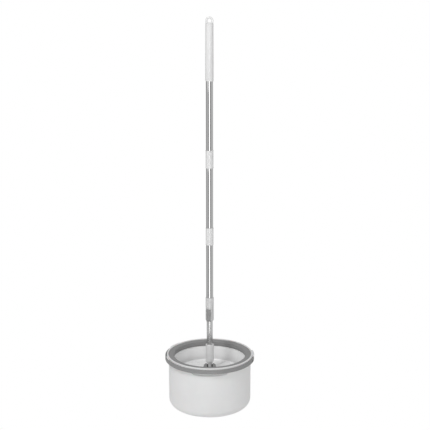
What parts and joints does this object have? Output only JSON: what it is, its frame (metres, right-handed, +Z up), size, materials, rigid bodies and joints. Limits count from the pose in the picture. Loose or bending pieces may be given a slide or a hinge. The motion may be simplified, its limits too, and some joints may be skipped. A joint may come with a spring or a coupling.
{
  "type": "spin mop",
  "caption": "Spin mop upright in a round low bucket with a rim ring, carrying handle and spin basket; steel pole in screwed sections with a flip lock and a tilting foot.",
  "frame": {"origin": "on the floor under the bucket's axle, which is also the pole's axis", "axes": "+Z up along the pole; -Y is the front, where the carrying handle lies folded and the lock lever faces"},
  "size_m": [0.2882, 0.2828, 1.247],
  "materials": {
    "white_pp": "satin",
    "dark_grey_pp": "satin",
    "light_grey_abs": "satin",
    "white_abs": "semi-gloss",
    "stainless_tube": "polished",
    "plated_steel": "zinc plated",
    "acetal": "satin",
    "rubber": "matt",
    "microfibre": "pile",
    "hook_tape": "woven"
  },
  "bodies": {
    "bucket": {"bucket_shell": "white_pp", "foot_1": "rubber", "foot_2": "rubber", "foot_3": "rubber", "foot_4": "rubber", "rim_ring": "dark_grey_pp", "handle_pin_left": "dark_grey_pp", "handle_pin_right": "dark_grey_pp", "axle": "plated_steel", "thrust_washer": "plated_steel"},
    "bail": {"carry_handle": "dark_grey_pp"},
    "rotor": {"basket": "white_pp", "basket_bush": "acetal"},
    "mop_head": {"mop_pad": "microfibre", "hook_disc": "hook_tape", "mop_plate": "white_abs", "hub_socket": "dark_grey_pp", "tilt_pin": "plated_steel", "plate_screw_1": "plated_steel", "plate_screw_2": "plated_steel", "plate_screw_3": "plated_steel", "plate_screw_4": "plated_steel"},
    "inner_pole": {"foot_sleeve": "white_abs", "inner_tube": "stainless_tube", "clutch_ring": "plated_steel", "drive_nut": "acetal"},
    "bush": {"slide_bush": "acetal"},
    "outer_pole": {"lower_tube": "stainless_tube", "middle_tube": "stainless_tube", "upper_tube": "stainless_tube", "collar_1": "white_abs", "collar_2": "white_abs", "screw_plug_1": "acetal", "screw_plug_2": "acetal", "rod_anchor": "acetal", "spiral_rod": "plated_steel", "rod_stop": "plated_steel", "grip_sleeve": "white_abs", "hang_loop": "white_abs", "lock_housing": "light_grey_abs", "lever_pin": "plated_steel", "brake_shoe": "rubber"},
    "lever": {"lock_lever": "dark_grey_pp"}
  },
  "joints": [
    {"name": "carry_handle_swing", "type": "hinge", "parent": "bucket", "child": "bail", "pos_m": [0, 0, 0.16505], "axis": [-0.9613, 0.2756, 0], "range_deg": [0, 75]},
    {"name": "basket_spin", "type": "hinge", "parent": "bucket", "child": "rotor", "pos_m": [0, 0, 0.05], "axis": [0, 0, 1], "continuous": true},
    {"name": "mop_lift", "type": "slide", "parent": "rotor", "child": "mop_head", "axis": [0, 0, 1], "range_m": [0, 0.26]},
    {"name": "foot_tilt", "type": "hinge", "parent": "mop_head", "child": "inner_pole", "pos_m": [0, 0, 0.1315], "axis": [-1, 0, 0], "range_deg": [0, 42]},
    {"name": "head_spin", "type": "hinge", "parent": "inner_pole", "child": "bush", "pos_m": [0, 0, 0.46], "axis": [0, 0, 1], "continuous": true},
    {"name": "handle_press", "type": "slide", "parent": "bush", "child": "outer_pole", "axis": [0, 0, -1], "range_m": [-0.095, 0.075]},
    {"name": "lock_lever_flip", "type": "hinge", "parent": "outer_pole", "child": "lever", "pos_m": [-0.00329, -0.01545, 0.324], "axis": [-0.9781, 0.2079, 0], "range_deg": [0, 80]}
  ],
  "couplings": [
    {"joint": "basket_spin", "follows": "handle_press", "rad_per_m": 69.813},
    {"joint": "head_spin", "follows": "handle_press", "rad_per_m": -69.813}
  ]
}
